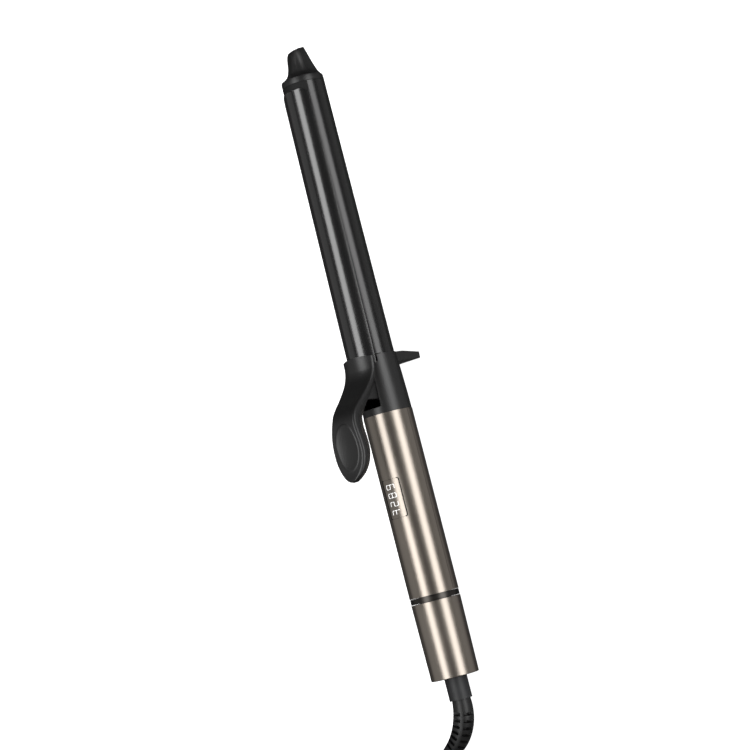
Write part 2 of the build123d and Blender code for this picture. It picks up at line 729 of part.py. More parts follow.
def cord_between(points):
    """Tube through the points, straight runs joined by arcs as large as the runs allow."""
    corners = [Vector(p) for p in points]
    runs = [b - a for a, b in zip(corners, corners[1:])]
    radii = []
    for before, after in zip(runs, runs[1:]):
        half_turn = radians(before.get_angle(after)) / 2
        radii.append(0.45 * min(before.length, after.length) / tan(half_turn))
    with BuildLine() as path:
        FilletPolyline(corners, radius=radii)
    with BuildPart() as tube:
        with BuildSketch(Plane(origin=path.wire() @ 0, z_dir=path.wire() % 0)):
            Circle(CORD / 2)
        sweep(path=path.wire())
    expected = pi * (CORD / 2) ** 2 * path.wire().length
    print("cord radii", [round(r, 1) for r in radii], "length", round(path.wire().length, 1))
    print("cord volume against section times length", round(tube.part.volume / expected, 4))
    return tube


lead_start = (relief_end.X, relief_end.Y, relief_end.Z)
print("lead starts at", [round(value, 1) for value in lead_start])
cord_tube = cord_between([lead_start] + LEAD)
save(cord_tube, "cord_tube")
cord_tail = cord_between(TAIL)
save(cord_tail, "cord_tail")

run = HANK_NEAR - HANK_FAR
hank_middle = ((HANK_NEAR + HANK_FAR) / 2, HANK_SIDE)
with BuildPart() as cord_hank:
    for low, high, inner, outer in (
        (TIE_THICKNESS, TIE_THICKNESS + 2 * CORD, INNER_FOLD, OUTER_FOLD),
        (TIE_THICKNESS + 2 * CORD, HANK_TOP, TOP_FOLD, TOP_FOLD),
    ):
        with BuildSketch(Plane.XY.offset(low)) as layers:
            with Locations(hank_middle):
                SlotCenterToCenter(run, 2 * outer + CORD)
                SlotCenterToCenter(run, 2 * inner - CORD, mode=Mode.SUBTRACT)
        extrude(layers.sketch, amount=high - low)
save(cord_hank, "cord_hank")

mean_fold = (2 * OUTER_FOLD + TOP_FOLD + 2 * INNER_FOLD) / 5
print("cord in the hank", round(TURNS * (2 * run + 2 * pi * mean_fold)))

TIE_WIDTH = 12.0
TIE_FROM = -329.4
tie_inside = OUTER_FOLD + CORD / 2 + 0.1
tie_top = HANK_TOP + 0.1
with BuildPart() as cord_tie:
    with BuildSketch(Plane(origin=(TIE_FROM, HANK_SIDE, 0), x_dir=(0, 1, 0), z_dir=(1, 0, 0))) as strap:
        with Locations((0, (tie_top + TIE_THICKNESS) / 2)):
            Rectangle(2 * (tie_inside + TIE_THICKNESS), tie_top + TIE_THICKNESS)
        with Locations((0, (tie_top + TIE_THICKNESS - 0.1) / 2)):
            Rectangle(2 * tie_inside, tie_top - TIE_THICKNESS + 0.1, mode=Mode.SUBTRACT)
    extrude(strap.sketch, amount=TIE_WIDTH)
save(cord_tie, "cord_tie")

# ---- plug, lying inside the hank --------------------------------------------------------------
PLUG_START = -333.4
PLUG_HEIGHT = 8.0
PLUG_NECK_END = -316.4
PLUG_BODY_END = -291.4
BLADE_END = -276.4


def plug_plane(station):
    """Upright plane across the plug, facing away from its cord."""
    return Plane(origin=(station, HANK_SIDE, PLUG_HEIGHT), x_dir=(0, 1, 0), z_dir=(1, 0, 0))


with BuildPart() as plug_body:
    with BuildSketch(plug_plane(PLUG_START)):
        Circle(4.2)
    with BuildSketch(plug_plane(PLUG_NECK_END)):
        Circle(6.2)
    loft()
    with BuildSketch(plug_plane(PLUG_NECK_END)) as back:
        RectangleRounded(20, 14, 5)
    with BuildSketch(plug_plane(PLUG_BODY_END)) as front:
        RectangleRounded(26, 16, 4)
    loft([back.sketch.face(), front.sketch.face()])
save(plug_body, "plug_body")

with BuildPart() as plug_blades:
    with BuildSketch(plug_plane(PLUG_BODY_END)) as blades:
        with GridLocations(12.7, 0, 2, 1):
            Rectangle(1.5, 6.3)
    extrude(blades.sketch, amount=BLADE_END - PLUG_BODY_END)
save(plug_blades, "plug_blades")
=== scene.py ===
# %% [markdown]
# # A curling iron, dressed on its CAD frame
# This lesson dresses a curling iron whose shape and joints already exist as a CAD model. The
# loaded nodes stay where they are. New pieces are made where the moulded shape has more to
# show than the CAD solid: the fluted cool tip, the sprung clip, the thumb lever and its webs,
# the display's figures and seam, the cord with its hank, and the plug. Two thin dark sheets of
# painted shade are added on the barrel as well: one in the collar's mouth, one the painted shadow
# of the clip's nose. Everything else gets a finish of its own.

# %% Load the frame
import json
from math import acos, atan2, cos, degrees, hypot, pi, radians, sin, sqrt, tan

import bmesh
import bpy
from mathutils import Matrix, Vector


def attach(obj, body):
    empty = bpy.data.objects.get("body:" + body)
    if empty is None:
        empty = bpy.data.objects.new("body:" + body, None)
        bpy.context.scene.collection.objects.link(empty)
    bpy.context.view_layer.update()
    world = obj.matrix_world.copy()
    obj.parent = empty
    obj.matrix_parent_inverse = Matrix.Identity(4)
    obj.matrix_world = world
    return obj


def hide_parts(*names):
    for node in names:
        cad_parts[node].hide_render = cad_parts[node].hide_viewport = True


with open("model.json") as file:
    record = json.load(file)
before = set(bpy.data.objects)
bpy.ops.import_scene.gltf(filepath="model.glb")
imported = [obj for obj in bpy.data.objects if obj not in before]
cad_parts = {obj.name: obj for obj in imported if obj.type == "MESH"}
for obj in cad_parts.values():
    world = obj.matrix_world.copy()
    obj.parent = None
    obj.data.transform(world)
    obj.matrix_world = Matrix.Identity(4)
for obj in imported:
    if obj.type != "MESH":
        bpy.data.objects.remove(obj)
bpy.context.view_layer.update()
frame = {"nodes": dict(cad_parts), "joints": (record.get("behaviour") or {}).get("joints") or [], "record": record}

# %% [markdown]
# ## The iron's own directions
# The iron lies tilted on its stand, so nothing on it is square to the table. The swivel joint
# holds the middle of the handle's end and the barrel's direction, and a matrix made from those
# turns "millimetres along the barrel, to the side, and up" into places in the frame. The clamp
# gets a second matrix, because its clip lies at a small angle to the barrel.

# %% The iron's and the clamp's matrices
MM = 0.001
joints = {joint["name"]: joint for joint in frame["joints"]}
handle_end = Vector(joints["cord_swivel_turn"]["pos_m"])
forward = Vector(joints["cord_swivel_turn"]["axis"]).normalized()
aside = Vector((0, 1, 0))
upward = forward.cross(aside)

CLIP_CROSSING = 349.6             # station where the clip's own axis crosses the barrel's
CLIP_TILT = radians(1.1)


def local_matrix(origin, along, up):
    """Matrix from local millimetres (station, side, height) to the frame's metres."""
    turn = Matrix((along, aside, up)).transposed().to_4x4()
    return Matrix.Translation(origin) @ turn @ Matrix.Scale(MM, 4)


IRON = local_matrix(handle_end, forward, upward)
clip_forward = forward * cos(CLIP_TILT) - upward * sin(CLIP_TILT)
clip_upward = upward * cos(CLIP_TILT) + forward * sin(CLIP_TILT)
CLAMP = local_matrix(IRON @ Vector((CLIP_CROSSING, 0, 0)), clip_forward, clip_upward)
print("barrel rises", round(degrees(atan2(forward.z, forward.x)), 2), "degrees")

# %% [markdown]
# ## Camera
# A long lens stands level with the handle and looks up the iron towards the tip, from the
# side that shows the lever's flank. It is rolled, so that the barrel climbs to the upper left.

# %% Camera
CAMERA_TURN = radians(38.0)      # round the barrel, away from the lever, towards the right side
CAMERA_DISTANCE = 1.378          # metres from the barrel's axis
EYE_STATION = 60.0
AIM_STATION = 181.0
AIM_ASIDE = -1.65                # millimetres from the axis, counted to the right in the picture
ROLL = radians(14.4)
FOCAL = 3.153                    # picture widths

towards_camera = upward * cos(CAMERA_TURN) - aside * sin(CAMERA_TURN)
picture_right = forward.cross(towards_camera)
eye = IRON @ Vector((EYE_STATION, 0, 0)) + towards_camera * CAMERA_DISTANCE
eye += picture_right * AIM_ASIDE * MM
target = IRON @ Vector((AIM_STATION, 0, 0)) + picture_right * AIM_ASIDE * MM

camera_data = bpy.data.cameras.new("camera")
camera_data.sensor_width = 36.0
camera_data.lens = camera_data.sensor_width * FOCAL
camera = bpy.data.objects.new("camera", camera_data)
bpy.context.scene.collection.objects.link(camera)
back = (eye - target).normalized()
climb = (forward - back * forward.dot(back)).normalized()
right = climb.cross(back)
camera_x = right * cos(ROLL) - climb * sin(ROLL)
camera_y = right * sin(ROLL) + climb * cos(ROLL)
camera.matrix_world = Matrix.Translation(eye) @ Matrix((camera_x, camera_y, back)).transposed().to_4x4()
bpy.context.scene.camera = camera
print("camera at", [round(value, 3) for value in eye])

# %% [markdown]
# ## Small tools for finishes
# Every finish is a node tree. One function adds a node with its settings and links, and two
# more make the pair of effects that moulded and coated surfaces share: a fine grain that
# breaks up the gloss, and a slow drift of colour and gloss over the surface.

# %% Node tools
NOISE_LOW = 0.3                 # the range of the noise that each drift is spread over
NOISE_HIGH = 0.7


def linear(code):
    """Linear colour for an sRGB hex code."""
    channels = [int(code[i:i + 2], 16) / 255 for i in (1, 3, 5)]
    return tuple(c / 12.92 if c <= 0.04045 else ((c + 0.055) / 1.055) ** 2.4 for c in channels) + (1.0,)


def add_node(tree, kind, inputs=None, **settings):
    """Add a node, set its properties, and set or link its inputs."""
    made = tree.nodes.new(kind)
    for name, value in settings.items():
        setattr(made, name, value)
    for socket, value in (inputs or {}).items():
        if isinstance(value, bpy.types.NodeSocket):
            tree.links.new(value, made.inputs[socket])
        else:
            made.inputs[socket].default_value = value
    return made


def new_finish(name, colour, roughness, metallic=0.0, ior=1.5):
    """Material with one principled shader: returns the material, its tree and the shader."""
    finish = bpy.data.materials.new(name)
    finish.use_nodes = True
    tree = finish.node_tree
    tree.nodes.clear()
    shader = add_node(
        tree,
        "ShaderNodeBsdfPrincipled",
        {"Base Color": linear(colour), "Roughness": roughness, "Metallic": metallic, "IOR": ior},
    )
    add_node(tree, "ShaderNodeOutputMaterial", {"Surface": shader.outputs["BSDF"]})
    return finish, tree, shader


def grain(tree, shader, size_mm, height_mm, strength=0.5, stretch=(1, 1, 1)):
    """Fine bumps about size_mm apart and height_mm high."""
    place = add_node(tree, "ShaderNodeTexCoord").outputs["Object"]
    mapped = add_node(tree, "ShaderNodeMapping", {"Vector": place, "Scale": stretch})
    noise = add_node(
        tree,
        "ShaderNodeTexNoise",
        {"Vector": mapped.outputs["Vector"], "Scale": 1 / (size_mm * MM), "Detail": 2.0},
    )
    bump = add_node(
        tree,
        "ShaderNodeBump",
        {"Height": noise.outputs["Fac"], "Distance": height_mm * MM, "Strength": strength},
    )
    tree.links.new(bump.outputs["Normal"], shader.inputs["Normal"])
    return noise


def drift(tree, shader, size_mm, dark, light, smooth, rough):
    """Colour between two codes, and roughness between two values, drifting over size_mm."""
    place = add_node(tree, "ShaderNodeTexCoord").outputs["Object"]
    noise = add_node(
        tree, "ShaderNodeTexNoise", {"Vector": place, "Scale": 1 / (size_mm * MM), "Detail": 3.0}
    )
    tint = add_node(tree, "ShaderNodeValToRGB", {"Fac": noise.outputs["Fac"]})
    tint.color_ramp.elements[0].position = NOISE_LOW
    tint.color_ramp.elements[0].color = linear(dark)
    tint.color_ramp.elements[1].position = NOISE_HIGH
    tint.color_ramp.elements[1].color = linear(light)
    tree.links.new(tint.outputs["Color"], shader.inputs["Base Color"])
    gloss = add_node(
        tree,
        "ShaderNodeMapRange",
        {
            "Value": noise.outputs["Fac"],
            "From Min": NOISE_LOW,
            "From Max": NOISE_HIGH,
            "To Min": smooth,
            "To Max": rough,
        },
    )
    tree.links.new(gloss.outputs["Result"], shader.inputs["Roughness"])


# %% [markdown]
# ## Finishes
# Each finish is named for what the real surface is and how it was made.

# %% Finishes


def champagne_metal():
    """Vacuum-metallised ABS under satin lacquer: a warm grey metal with very fine flake."""
    finish, tree, shader = new_finish("champagne metal", "#aba298", 0.3, metallic=1.0)
    drift(tree, shader, 30.0, "#a89f95", "#aea59b", 0.29, 0.32)
    grain(tree, shader, 0.35, 0.004, 0.35)
    return finish


def dark_metal():
    """The same metallising over a black base: the accent ring's smoked metal."""
    finish, tree, shader = new_finish("smoked metal", "#4c4946", 0.3, metallic=1.0)
    drift(tree, shader, 6.0, "#484542", "#504d4a", 0.28, 0.33)
    return finish


def satin_black():
    """Spark-eroded black nylon with glass fibre: soft sheen over a fine, even grain."""
    finish, tree, shader = new_finish("satin black nylon", "#0d0d0d", 0.4, ior=1.7)
    drift(tree, shader, 30.0, "#0c0c0c", "#0f0f0f", 0.38, 0.42)
    grain(tree, shader, 0.25, 0.006, 0.4)
    return finish


def ceramic_coating(name, ior, smooth):
    """Sprayed and baked ceramic coating on aluminium: dark and glossy, with a fine tooth."""
    finish, tree, shader = new_finish(name, "#101010", smooth, ior=ior)
    drift(tree, shader, 40.0, "#0e0e0e", "#121212", smooth - 0.01, smooth + 0.01)
    grain(tree, shader, 0.3, 0.002, 0.2)
    return finish


def matte_black():
    """Glass-filled heat-proof nylon, left as moulded: almost no shine."""
    finish, tree, shader = new_finish("matte black nylon", "#050505", 0.7)
    drift(tree, shader, 20.0, "#040404", "#070707", 0.66, 0.74)
    grain(tree, shader, 0.3, 0.01, 0.5)
    return finish


def smoked_window():
    """Tinted polycarbonate, moulded and polished: nearly black, with a clear reflection."""
    finish, tree, shader = new_finish("smoked polycarbonate", "#1d1813", 0.12, ior=1.58)
    drift(tree, shader, 8.0, "#1a1511", "#211b15", 0.10, 0.14)
    return finish


def lit_figures():
    """Backlit white symbols of the display."""
    finish, tree, shader = new_finish("display light", "#f4f4f2", 0.5)
    shader.inputs["Emission Color"].default_value = linear("#ffffff")
    shader.inputs["Emission Strength"].default_value = 0.9
    return finish


def cord_rubber():
    """Extruded soft PVC: deep black, slightly waxy, with a faint pull along the cord."""
    finish, tree, shader = new_finish("soft pvc", "#0c0c0c", 0.45, ior=1.6)
    drift(tree, shader, 20.0, "#0a0a0a", "#0e0e0e", 0.42, 0.50)
    grain(tree, shader, 0.6, 0.01, 0.35)
    return finish


def swivel_plastic():
    """Plain moulded black polyamide, slightly bluish beside the warm handle."""
    finish, tree, shader = new_finish("swivel polyamide", "#1b1c1e", 0.5, ior=1.6)
    drift(tree, shader, 12.0, "#191a1c", "#1d1e20", 0.47, 0.54)
    grain(tree, shader, 0.4, 0.008, 0.4)
    return finish


def pad_rubber():
    """Soft-touch elastomer inlay on the thumb pad."""
    finish, tree, shader = new_finish("soft touch", "#111111", 0.55, ior=1.6)
    drift(tree, shader, 6.0, "#191919", "#1f1f1f", 0.52, 0.6)
    grain(tree, shader, 0.3, 0.008, 0.5)
    return finish


def turned_steel():
    """Drawn steel wire and turned pins: grey metal with fine rings from the tool."""
    finish, tree, shader = new_finish("turned steel", "#9a9a9c", 0.32, metallic=1.0)
    drift(tree, shader, 4.0, "#929294", "#a4a4a6", 0.28, 0.38)
    grain(tree, shader, 0.2, 0.004, 0.4, stretch=(6, 1, 1))
    return finish


def cast_aluminium():
    """Pressure-cast aluminium of the heater blocks: dull, mottled grey."""
    finish, tree, shader = new_finish("cast aluminium", "#a8a9ab", 0.5, metallic=1.0)
    drift(tree, shader, 5.0, "#9c9d9f", "#b4b5b7", 0.45, 0.58)
    grain(tree, shader, 0.8, 0.03, 0.5)
    return finish


def sintered_ceramic():
    """Unglazed alumina of the heater plate: chalky white with a fine tooth."""
    finish, tree, shader = new_finish("alumina", "#e9e6de", 0.75)
    drift(tree, shader, 6.0, "#e2ded5", "#efece6", 0.7, 0.8)
    grain(tree, shader, 0.5, 0.02, 0.5)
    return finish


def inner_nylon():
    """Plain natural-grey nylon of the pieces inside the handle."""
    finish, tree, shader = new_finish("inner nylon", "#5a5a5c", 0.55)
    drift(tree, shader, 10.0, "#545456", "#626264", 0.5, 0.6)
    grain(tree, shader, 0.5, 0.01, 0.4)
    return finish


def circuit_laminate():
    """Glass-epoxy board under green lacquer: the weave shows as a faint cross-hatch."""
    finish, tree, shader = new_finish("green laminate", "#1d5a38", 0.35)
    drift(tree, shader, 3.0, "#195232", "#23643f", 0.3, 0.4)
    grain(tree, shader, 0.5, 0.01, 0.5, stretch=(1, 3, 1))
    return finish


def glass_sleeving():
    """Braided glass-fibre sleeving over the leads: cream, fuzzy, with a fine braid."""
    finish, tree, shader = new_finish("glass sleeving", "#cfc7b2", 0.7)
    drift(tree, shader, 2.0, "#c6bda6", "#d8d1be", 0.65, 0.8)
    grain(tree, shader, 0.5, 0.05, 0.6, stretch=(1, 2, 2))
    return finish


def turned_brass():
    """Turned brass of the slip rings and bushings, slightly dulled."""
    finish, tree, shader = new_finish("turned brass", "#c39a55", 0.3, metallic=1.0)
    drift(tree, shader, 4.0, "#b68e4b", "#cda461", 0.26, 0.38)
    grain(tree, shader, 0.2, 0.004, 0.4, stretch=(6, 1, 1))
    return finish


def pressed_graphite():
    """Brushes of pressed graphite: black with a soft metallic smear."""
    finish, tree, shader = new_finish("graphite", "#2b2b2d", 0.5, metallic=0.4)
    drift(tree, shader, 1.5, "#262628", "#333336", 0.42, 0.6)
    return finish


def woven_strap():
    """Woven nylon strap with hook-and-loop pile, which holds the hank."""
    finish, tree, shader = new_finish("woven strap", "#161616", 0.85)
    drift(tree, shader, 4.0, "#121212", "#202020", 0.8, 0.95)
    grain(tree, shader, 0.6, 0.15, 0.8, stretch=(1, 2, 1))
    shader.inputs["Sheen Weight"].default_value = 0.4
    return finish


def nickel_plate():
    """Nickel-plated brass blades of the plug."""
    finish, tree, shader = new_finish("nickel plate", "#c9c6bf", 0.2, metallic=1.0)
    drift(tree, shader, 5.0, "#c2bfb8", "#d0cdc7", 0.18, 0.26)
    grain(tree, shader, 0.3, 0.002, 0.3, stretch=(1, 6, 1))
    return finish


finishes = {
    "handle_metal": champagne_metal(),
    "dark_metal": dark_metal(),
    "satin_plastic": satin_black(),
    "heat_proof_plastic": matte_black(),
    "barrel_coating": ceramic_coating("ceramic coating, barrel", 1.65, 0.24),
    "clip_coating": ceramic_coating("ceramic coating, clip", 2.0, 0.21),
    "window_plastic": smoked_window(),
    "display_light": lit_figures(),
    "cord_rubber": cord_rubber(),
    "swivel_plastic": swivel_plastic(),
    "pad_rubber": pad_rubber(),
    "steel": turned_steel(),
    "aluminium": cast_aluminium(),
    "ceramic_heater": sintered_ceramic(),
    "inner_plastic": inner_nylon(),
    "board": circuit_laminate(),
    "lead_sleeve": glass_sleeving(),
    "brass": turned_brass(),
    "carbon": pressed_graphite(),
    "tie_strap": woven_strap(),
    "plated_brass": nickel_plate(),
}

# %% [markdown]
# ## Dressing the CAD nodes
# The record says which slot each node takes its finish from, so one loop dresses them all.

# %% Dress every node
SPECIAL = {
    "swivel_collar": "swivel_plastic",
    "display_window": "handle_metal",
    "clip_plate": "clip_coating",
}
for part in frame["record"]["subparts"]:
    node = frame["nodes"][part["node"]]
    node.data.materials.clear()
    node.data.materials.append(finishes[SPECIAL.get(part["node"], part["material_slot"])])

# %% [markdown]
# ## Making pieces
# A piece is drawn in local millimetres, then moved into the frame by its matrix, so that its
# object stays at the origin. Doubles are merged and the faces turned outwards before the bmesh
# becomes a mesh, and edges sharper than a set angle stay crisp.

# %% Finish a piece


def finish_piece(bm, name, body, slot, place, replaced=(), finish=None, sharp=35.0):
    """Turn a bmesh into a piece that rides on a body and wears a finish."""
    bmesh.ops.remove_doubles(bm, verts=bm.verts, dist=1e-4)
    bmesh.ops.transform(bm, matrix=place, verts=bm.verts)
    bmesh.ops.recalc_face_normals(bm, faces=bm.faces)
    mesh = bpy.data.meshes.new(name)
    bm.to_mesh(mesh)
    bm.free()
    mesh.shade_smooth()
    mesh.set_sharp_from_angle(angle=radians(sharp))
    piece = bpy.data.objects.new(name, mesh)
    bpy.context.scene.collection.objects.link(piece)
    piece.data.materials.append(finish or finishes[slot])
    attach(piece, body)
    if replaced:
        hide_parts(*replaced)
    return piece


def curve_value(points, at):
    """Smooth value between (place, value) points, by cubic easing through their slopes."""
    if at <= points[0][0]:
        return points[0][1]
    if at >= points[-1][0]:
        return points[-1][1]
    for i in range(len(points) - 1):
        (x0, y0), (x1, y1) = points[i], points[i + 1]
        if x0 <= at <= x1:
            break
    before = points[i - 1] if i > 0 else (x0, y0)
    after = points[i + 2] if i + 2 < len(points) else (x1, y1)
    slope0 = (y1 - before[1]) / (x1 - before[0])
    slope1 = (after[1] - y0) / (after[0] - x0)
    t = (at - x0) / (x1 - x0)
    width = x1 - x0
    start = y0 * (1 + 2 * t) * (1 - t) ** 2 + slope0 * width * t * (1 - t) ** 2
    end = y1 * t * t * (3 - 2 * t) - slope1 * width * t * t * (1 - t)
    return start + end


def bridge(bm, rings):
    """Faces between each ring of vertices and the next. All the rings are equally long."""
    for first, second in zip(rings, rings[1:]):
        for number in range(len(first)):
            follow = (number + 1) % len(first)
            bm.faces.new((first[number], first[follow], second[follow], second[number]))


def loft(bm, loops):
    """Skin through closed loops of equal length, capped at both ends."""
    rings = [[bm.verts.new(point) for point in loop] for loop in loops]
    bridge(bm, rings)
    bm.faces.new(rings[0])
    bm.faces.new(list(reversed(rings[-1])))


# %% [markdown]
# ## Cord
# The lead leaves the strain relief, comes down to the table and is folded into a hank behind
# the handle. It is one soft curve from end to end: a NURBS spline whose control points are the
# route. The hank's turns are points of the same spline, worked out turn by turn: each turn has
# its own place in the bundle, and moves to the next place in the fold nearest the handle.

# %% The cord's route
CORD = 6.0
LEAD = [
    (-232.9, 19.8, 10.6),
    (-239.3, 30.7, 9.6),
    (-248.9, 38.8, 7.7),
    (-260.7, 43.1, 5.7),
    (-273.2, 43.1, 4.0),
]
TAIL = [
    (-391.4, 1.1, 3.8),
    (-379.9, 1.5, 3.9),
    (-368.4, 5.6, 4.6),
    (-357.4, 13.2, 6.2),
    (-345.9, 17.9, 7.6),
    (-333.4, 19.1, 8.0),
]
HANK_SIDE = 19.1
HANK_NEAR = -275.4
HANK_FAR = -392.4
PLACES = [(24.0, 3.8), (24.0, 9.8), (21.0, 15.0), (18.0, 9.8), (18.0, 3.8)]  # fold radius, height
BULGES = [0.0, 2.2, -0.9, 0.0]      # how far each near fold swings out to clear the one below
FOLD_STEPS = 6
FOLD_APPROACH = 20.0                # how far short of the near fold's centre a run has its point


def fold_point(centre, direction, step, radius, height):
    """Control point of a half-round fold, step by step from one side to the other."""
    angle = pi * step / FOLD_STEPS
    reach = radius / cos(pi / FOLD_STEPS / 2)
    return (
        centre + direction * reach * sin(angle),
        HANK_SIDE - direction * reach * cos(angle),
        height,
    )


def hank_points():
    """Control points of the hank: run, far fold, run back, near fold up to the next place."""
    points = []
    middle = (HANK_NEAR + HANK_FAR) / 2
    for turn, (radius, height) in enumerate(PLACES):
        points.append((HANK_NEAR - FOLD_APPROACH, HANK_SIDE + radius, height))
        points.append((middle, HANK_SIDE + radius, height))
        for step in range(FOLD_STEPS + 1):
            points.append(fold_point(HANK_FAR, -1, step, radius, height))
        if turn == len(PLACES) - 1:
            break
        points.append((middle, HANK_SIDE - radius, height))
        points.append((HANK_NEAR - FOLD_APPROACH, HANK_SIDE - radius, height))
        next_radius, next_height = PLACES[turn + 1]
        for step in range(FOLD_STEPS + 1):
            share = step / FOLD_STEPS
            swing = BULGES[turn] * sin(pi * share)
            here = radius + (next_radius - radius) * share + swing
            rise = height + (next_height - height) * share
            points.append(fold_point(HANK_NEAR, 1, step, here, rise))
    return points


def lay_cord(points, diameter):
    """One NURBS curve with round section through its control points, in millimetres."""
    curve = bpy.data.curves.new("cord", "CURVE")
    curve.dimensions = "3D"
    spline = curve.splines.new("NURBS")
    spline.points.add(len(points) - 1)
    for control, point in zip(spline.points, points):
        control.co = (*(value * MM for value in point), 1.0)
    spline.order_u = 3
    spline.use_endpoint_u = True
    spline.resolution_u = 6
    curve.bevel_depth = diameter / 2 * MM
    curve.bevel_resolution = 5
    curve.use_fill_caps = True
    cord = bpy.data.objects.new("cord", curve)
    bpy.context.scene.collection.objects.link(cord)
    return cord


route = LEAD + hank_points() + TAIL[1:]
cord = lay_cord(route, CORD)
cord.data.materials.append(finishes["cord_rubber"])
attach(cord, "cord_swivel")
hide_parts("cord_tube", "cord_hank", "cord_tail")

# %% Cord length


def spline_length(piece):
    """Length of a curve's own line."""
    copy = piece.copy()
    copy.data = piece.data.copy()
    copy.data.bevel_depth = 0
    line = bpy.data.meshes.new_from_object(copy)
    total = 0.0
    for edge in line.edges:
        start, end = (line.vertices[number].co for number in edge.vertices)
        total += (start - end).length
    bpy.data.objects.remove(copy)
    return total


cord_length = spline_length(cord)
print("cord is", round(cord_length, 3), "m long")

# %% [markdown]
# ## Floor and light
# A plain pale sweep of floor, and two long soft boxes beside the camera. On a satin cylinder each
# box shows as one bright band along the barrel, with a dark line between them where the camera
# stands. Two wide, faint boxes farther round lift the sides. The floor glows, so that it stays
# white, and it is left out of reflections.

# %% Floor


def pale_floor():
    """Matt white paper."""
    finish, tree, shader = new_finish("studio paper", "#f2f2f2", 0.9)
    shader.inputs["Specular IOR Level"].default_value = 0.0
    shader.inputs["Emission Color"].default_value = linear("#ffffff")
    shader.inputs["Emission Strength"].default_value = 1.0
    drift(tree, shader, 400.0, "#f0f0f0", "#f4f4f4", 0.88, 0.92)
    return finish


bm = bmesh.new()
bmesh.ops.create_grid(bm, x_segments=1, y_segments=1, size=4.0)
floor_mesh = bpy.data.meshes.new("floor")
bm.to_mesh(floor_mesh)
bm.free()
floor = bpy.data.objects.new("floor", floor_mesh)
bpy.context.scene.collection.objects.link(floor)
floor.data.materials.append(pale_floor())
floor.visible_glossy = False

# %% Lights
LIGHT_STATION = 170.0
LIGHT_LENGTH = 1.6               # metres, as the lights' distances and widths

world = bpy.data.worlds.new("studio")
world.use_nodes = True
world.node_tree.nodes["Background"].inputs["Color"].default_value = linear("#ffffff")
world.node_tree.nodes["Background"].inputs["Strength"].default_value = 0.06
bpy.context.scene.world = world
bpy.context.scene.view_settings.view_transform = "Standard"


def soft_box(name, turn, distance, width, power):
    """Area light round the barrel's axis: turn is in degrees from the camera's side."""
    angle = CAMERA_TURN + radians(turn)
    out = upward * cos(angle) - aside * sin(angle)
    middle = IRON @ Vector((LIGHT_STATION, 0, 0))
    data = bpy.data.lights.new(name, "AREA")
    data.shape = "RECTANGLE"
    data.size = width
    data.size_y = LIGHT_LENGTH
    data.energy = power
    light = bpy.data.objects.new(name, data)
    bpy.context.scene.collection.objects.link(light)
    across = forward.cross(out)
    light.matrix_world = (
        Matrix.Translation(middle + out * distance) @ Matrix((across, forward, out)).transposed().to_4x4()
    )
    return light


soft_box("left box", -41.0, 1.1, 0.52, 8.6)
soft_box("right box", 37.0, 1.1, 0.56, 8.8)
soft_box("left fill", -95.0, 1.3, 1.0, 1.3)
soft_box("right fill", 95.0, 1.3, 1.0, 1.2)

# %% [markdown]
# ## Cool tip
# The tip is a moulded nose that stays cool enough to hold. It is turned first: a few points
# spun round the barrel's axis. Eight flutes, with a ridge between each two, and three broad
# finger scoops are then pressed in. Last, the end face is leaned over.

# %% Spin helper


def spin_profile(profile, steps):
    """Solid of revolution about the barrel's axis from (station, radius) points."""
    bm = bmesh.new()
    verts = [bm.verts.new((station, 0, radius)) for station, radius in profile]
    edges = [bm.edges.new(pair) for pair in zip(verts, verts[1:])]
    bmesh.ops.spin(
        bm,
        geom=verts + edges,
        cent=(0, 0, 0),
        axis=(1, 0, 0),
        angle=2 * pi,
        steps=steps,
        use_merge=True,
    )
    bmesh.ops.remove_doubles(bm, verts=bm.verts, dist=1e-4)
    return bm


# %% Cool tip
BARREL_RADIUS = 12.7
RING_END = 362.2
TIP_END = 379.2
SPIGOT_START = 351.0             # the part inside the barrel
SPIGOT_RADIUS = 11.75
RING_START = 358.15
RING_RADIUS = 12.7
NOSE_BASE = 12.1
NOSE_END = 5.9
NOSE_STEP = 0.8
NOSE_STEPS = 20
END_MIDDLE = 3.0                 # radius of the end face's inner loop
SPIN_STEPS = 160
FLUTES = 8
RIDGE_TURN = radians(17.0)       # of the first ridge, from the lever's direction
FLUTE_DEPTH = 0.11               # share of the radius, half-way between two ridges
FLUTE_LEAD_IN = 0.125            # share of the nose in which the flutes reach their depth
SCOOPS = 3
SCOOP_TURN = radians(52.0)       # of the first scoop, from the lever's direction to the left
SCOOP_DEPTHS = [(0.0, 0.06), (0.1, 0.2), (0.2, 0.27), (0.5, 0.27), (0.84, 0.16), (1.0, 0.13)]
END_SLANT = tan(radians(15.0))
LOW_SIDE = radians(52.0)         # round the barrel from the lever's direction


def ridge_radius(station):
    """Radius over the ridges, from the ring to the end."""
    share = (station - RING_END) / (TIP_END - RING_END)
    return NOSE_BASE + (NOSE_END - NOSE_BASE) * share


def press_nose(vert):
    """Press the flutes between the ridges, and the three broad finger scoops, into the nose."""
    station, side, height = vert.co
    if station <= RING_END or hypot(side, height) < 0.1:
        return
    share = (station - RING_END) / (TIP_END - RING_END)
    angle = atan2(side, height)
    off_ridge = abs(2 * (((angle - RIDGE_TURN) / (2 * pi) * FLUTES) % 1.0) - 1)
    flute = FLUTE_DEPTH * (1 - off_ridge ** 2) * min(1.0, share / FLUTE_LEAD_IN)
    off_scoop = (angle - SCOOP_TURN + pi / SCOOPS) % (2 * pi / SCOOPS) - pi / SCOOPS
    bend = max(0.0, cos(SCOOPS / 2 * off_scoop))
    keep = (1 - flute) * (1 - curve_value(SCOOP_DEPTHS, share) * bend)
    vert.co.y *= keep
    vert.co.z *= keep


